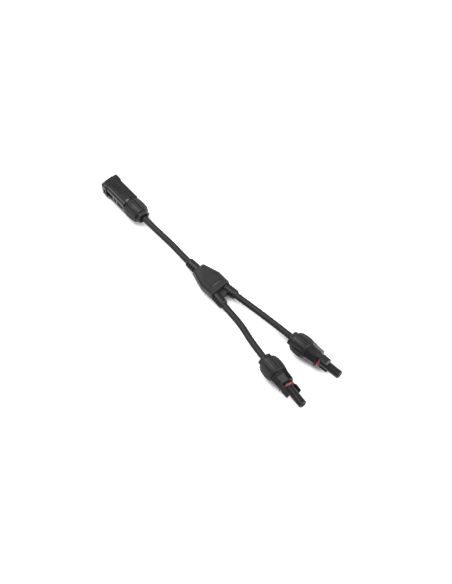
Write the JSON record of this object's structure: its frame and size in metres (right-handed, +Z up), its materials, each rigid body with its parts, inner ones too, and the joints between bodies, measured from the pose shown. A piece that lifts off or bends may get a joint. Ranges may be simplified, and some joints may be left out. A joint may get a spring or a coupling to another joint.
{
  "type": "solar branch cable connector",
  "caption": "Flexible lead that joins one shrouded male solar connector to two female connectors through a flat moulded Y junction, with screw gland nuts and latch fingers.",
  "frame": {"origin": "centre of the flat underside of the moulded junction", "axes": "+X along the junction from the trunk cable to the branch cables, +Z up from the surface that the lead lies on"},
  "size_m": [0.2924, 0.0565, 0.02],
  "materials": {
    "overmould": "satin moulded thermoplastic, near black",
    "cable_jacket": "matte extruded sheath",
    "tinned_copper": "tinned copper strands",
    "tinned_contact": "tin-plated turned copper",
    "spring_steel": "rolled spring sheet",
    "red_seal": "glossy red silicone rubber",
    "black_seal": "matte rubber",
    "nut_plastic": "fine-grained moulded thermoplastic, near black",
    "collet_plastic": "moulded thermoplastic",
    "housing_plastic": "satin moulded thermoplastic, near black"
  },
  "bodies": {
    "lead": {"junction_overmould": "overmould", "junction_splice": "tinned_copper", "trunk_jacket": "cable_jacket", "right_jacket": "cable_jacket", "left_jacket": "cable_jacket", "trunk_conductor": "tinned_copper", "right_conductor": "tinned_copper", "left_conductor": "tinned_copper", "male_housing": "housing_plastic", "male_pin_contact": "tinned_contact", "male_cable_seal": "black_seal", "right_housing": "housing_plastic", "right_socket_contact": "tinned_contact", "right_contact_spring": "spring_steel", "right_o_ring": "red_seal", "right_cable_seal": "black_seal", "left_housing": "housing_plastic", "left_socket_contact": "tinned_contact", "left_contact_spring": "spring_steel", "left_o_ring": "red_seal", "left_cable_seal": "black_seal"},
    "male_gland": {"male_clamp_collet": "collet_plastic"},
    "male_nut": {"male_gland_nut": "nut_plastic"},
    "right_gland": {"right_clamp_collet": "collet_plastic"},
    "right_nut": {"right_gland_nut": "nut_plastic"},
    "right_latch_upper_arm": {"right_latch_upper": "housing_plastic"},
    "right_latch_lower_arm": {"right_latch_lower": "housing_plastic"},
    "left_gland": {"left_clamp_collet": "collet_plastic"},
    "left_nut": {"left_gland_nut": "nut_plastic"},
    "left_latch_upper_arm": {"left_latch_upper": "housing_plastic"},
    "left_latch_lower_arm": {"left_latch_lower": "housing_plastic"}
  },
  "joints": [
    {"name": "male_gland_slide", "type": "slide", "parent": "lead", "child": "male_gland", "axis": [0.9994, -0.0349, 0], "range_m": [0, 0.007]},
    {"name": "male_nut_turn", "type": "hinge", "parent": "male_gland", "child": "male_nut", "pos_m": [-0.10129, 0.00065, 0.01], "axis": [0.9994, -0.0349, 0], "range_deg": [0, 1440]},
    {"name": "right_gland_slide", "type": "slide", "parent": "lead", "child": "right_gland", "axis": [-0.9968, -0.0802, 0], "range_m": [0, 0.007]},
    {"name": "right_nut_turn", "type": "hinge", "parent": "right_gland", "child": "right_nut", "pos_m": [0.10347, 0.0138, 0.01], "axis": [-0.9968, -0.0802, 0], "range_deg": [0, 1440]},
    {"name": "right_latch_upper_flex", "type": "hinge", "parent": "lead", "child": "right_latch_upper_arm", "pos_m": [0.12204, 0.01491, 0.01729], "axis": [-0.0801, 0.9954, 0.0523], "range_deg": [0, 5.5], "stiffness_Nm_per_rad": 2},
    {"name": "right_latch_lower_flex", "type": "hinge", "parent": "lead", "child": "right_latch_lower_arm", "pos_m": [0.12198, 0.01568, 0.00271], "axis": [0.0801, -0.9954, -0.0523], "range_deg": [0, 5.5], "stiffness_Nm_per_rad": 2},
    {"name": "left_gland_slide", "type": "slide", "parent": "lead", "child": "left_gland", "axis": [-0.993, 0.1184, 0], "range_m": [0, 0.007]},
    {"name": "left_nut_turn", "type": "hinge", "parent": "left_gland", "child": "left_nut", "pos_m": [0.10193, -0.02028, 0.01], "axis": [-0.993, 0.1184, 0], "range_deg": [0, 1440]},
    {"name": "left_latch_upper_flex", "type": "hinge", "parent": "lead", "child": "left_latch_upper_arm", "pos_m": [0.11972, -0.0282, 0.01449], "axis": [0.0729, 0.6113, 0.788], "range_deg": [0, 5.5], "stiffness_Nm_per_rad": 2},
    {"name": "left_latch_lower_flex", "type": "hinge", "parent": "lead", "child": "left_latch_lower_arm", "pos_m": [0.12108, -0.01677, 0.00551], "axis": [-0.0729, -0.6113, -0.788], "range_deg": [0, 5.5], "stiffness_Nm_per_rad": 2}
  ],
  "couplings": [
    {"joint": "male_gland_slide", "follows": "male_nut_turn", "m_per_rad": 0.0002785},
    {"joint": "right_gland_slide", "follows": "right_nut_turn", "m_per_rad": 0.0002785},
    {"joint": "left_gland_slide", "follows": "left_nut_turn", "m_per_rad": 0.0002785}
  ]
}
